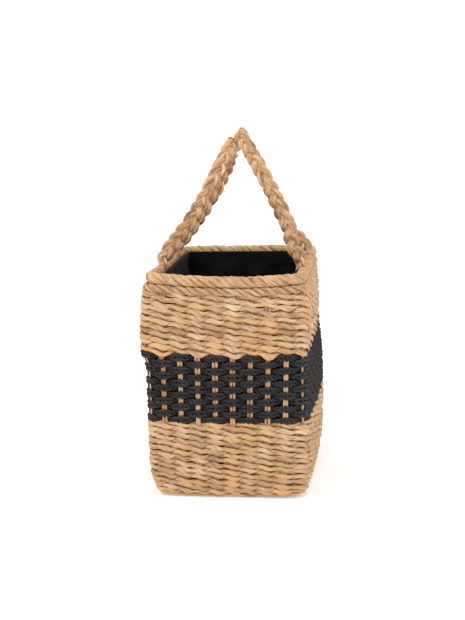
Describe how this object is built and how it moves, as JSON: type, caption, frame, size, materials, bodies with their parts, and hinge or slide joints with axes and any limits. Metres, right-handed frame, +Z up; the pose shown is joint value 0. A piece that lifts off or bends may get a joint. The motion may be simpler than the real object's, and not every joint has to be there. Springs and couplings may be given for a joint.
{
  "type": "market basket",
  "caption": "Rectangular woven seagrass market basket with a black woven band, a loose cloth liner and two hinged plaited carrying handles.",
  "frame": {"origin": "on the floor under the middle of the basket", "axes": "+Z up, X across the width, +Y along the length; the two handles stand on the +X and -X long walls"},
  "size_m": [0.22, 0.4, 0.4833],
  "materials": {
    "seagrass": "dry seagrass, matte with a slight sheen",
    "border_seagrass": "dry seagrass, matte",
    "base_seagrass": "dry seagrass, matte",
    "stake_seagrass": "dry seagrass, matte",
    "handle_seagrass": "plaited dry seagrass, slight sheen",
    "black_cord": "dyed twisted cord, low sheen",
    "liner_cloth": "matte woven cotton",
    "hem_cloth": "matte woven cotton, folded",
    "thread": "matte cotton thread"
  },
  "bodies": {
    "basket": {"foot_course": "seagrass", "natural_lower_course_01": "seagrass", "natural_lower_course_02": "seagrass", "natural_lower_course_03": "seagrass", "natural_lower_course_04": "seagrass", "natural_lower_course_05": "seagrass", "natural_lower_course_06": "seagrass", "natural_lower_course_07": "seagrass", "natural_lower_course_08": "seagrass", "natural_lower_course_09": "seagrass", "natural_lower_course_10": "seagrass", "natural_lower_course_11": "seagrass", "natural_lower_course_12": "seagrass", "black_course_01": "black_cord", "black_course_02": "black_cord", "black_course_03": "black_cord", "black_course_04": "black_cord", "black_course_05": "black_cord", "black_course_06": "black_cord", "black_course_07": "black_cord", "black_course_08": "black_cord", "black_course_09": "black_cord", "black_course_10": "black_cord", "black_course_11": "black_cord", "natural_upper_course_01": "seagrass", "natural_upper_course_02": "seagrass", "natural_upper_course_03": "seagrass", "natural_upper_course_04": "seagrass", "natural_upper_course_05": "seagrass", "natural_upper_course_06": "seagrass", "natural_upper_course_07": "seagrass", "natural_upper_course_08": "seagrass", "natural_upper_course_09": "seagrass", "natural_upper_course_10": "seagrass", "border_lower_roll": "border_seagrass", "border_top_roll": "border_seagrass", "base_weft_under": "base_seagrass", "base_weft_over": "base_seagrass", "long_stakes": "stake_seagrass", "cross_stakes": "stake_seagrass", "corner_stakes": "stake_seagrass", "liner_side": "liner_cloth", "liner_base": "liner_cloth", "liner_hem": "hem_cloth", "liner_stitches": "thread", "left_handle_roots": "handle_seagrass", "right_handle_roots": "handle_seagrass"},
    "left_handle": {"left_handle_strand_a": "handle_seagrass", "left_handle_strand_b": "handle_seagrass", "left_handle_strand_c": "handle_seagrass"},
    "right_handle": {"right_handle_strand_a": "handle_seagrass", "right_handle_strand_b": "handle_seagrass", "right_handle_strand_c": "handle_seagrass"}
  },
  "joints": [
    {"name": "left_handle_fold", "type": "hinge", "parent": "basket", "child": "left_handle", "pos_m": [-0.0931, 0, 0.305], "axis": [0, -1, 0], "range_deg": [0, 112]},
    {"name": "right_handle_fold", "type": "hinge", "parent": "basket", "child": "right_handle", "pos_m": [0.0931, 0, 0.305], "axis": [0, 1, 0], "range_deg": [0, 112]}
  ]
}
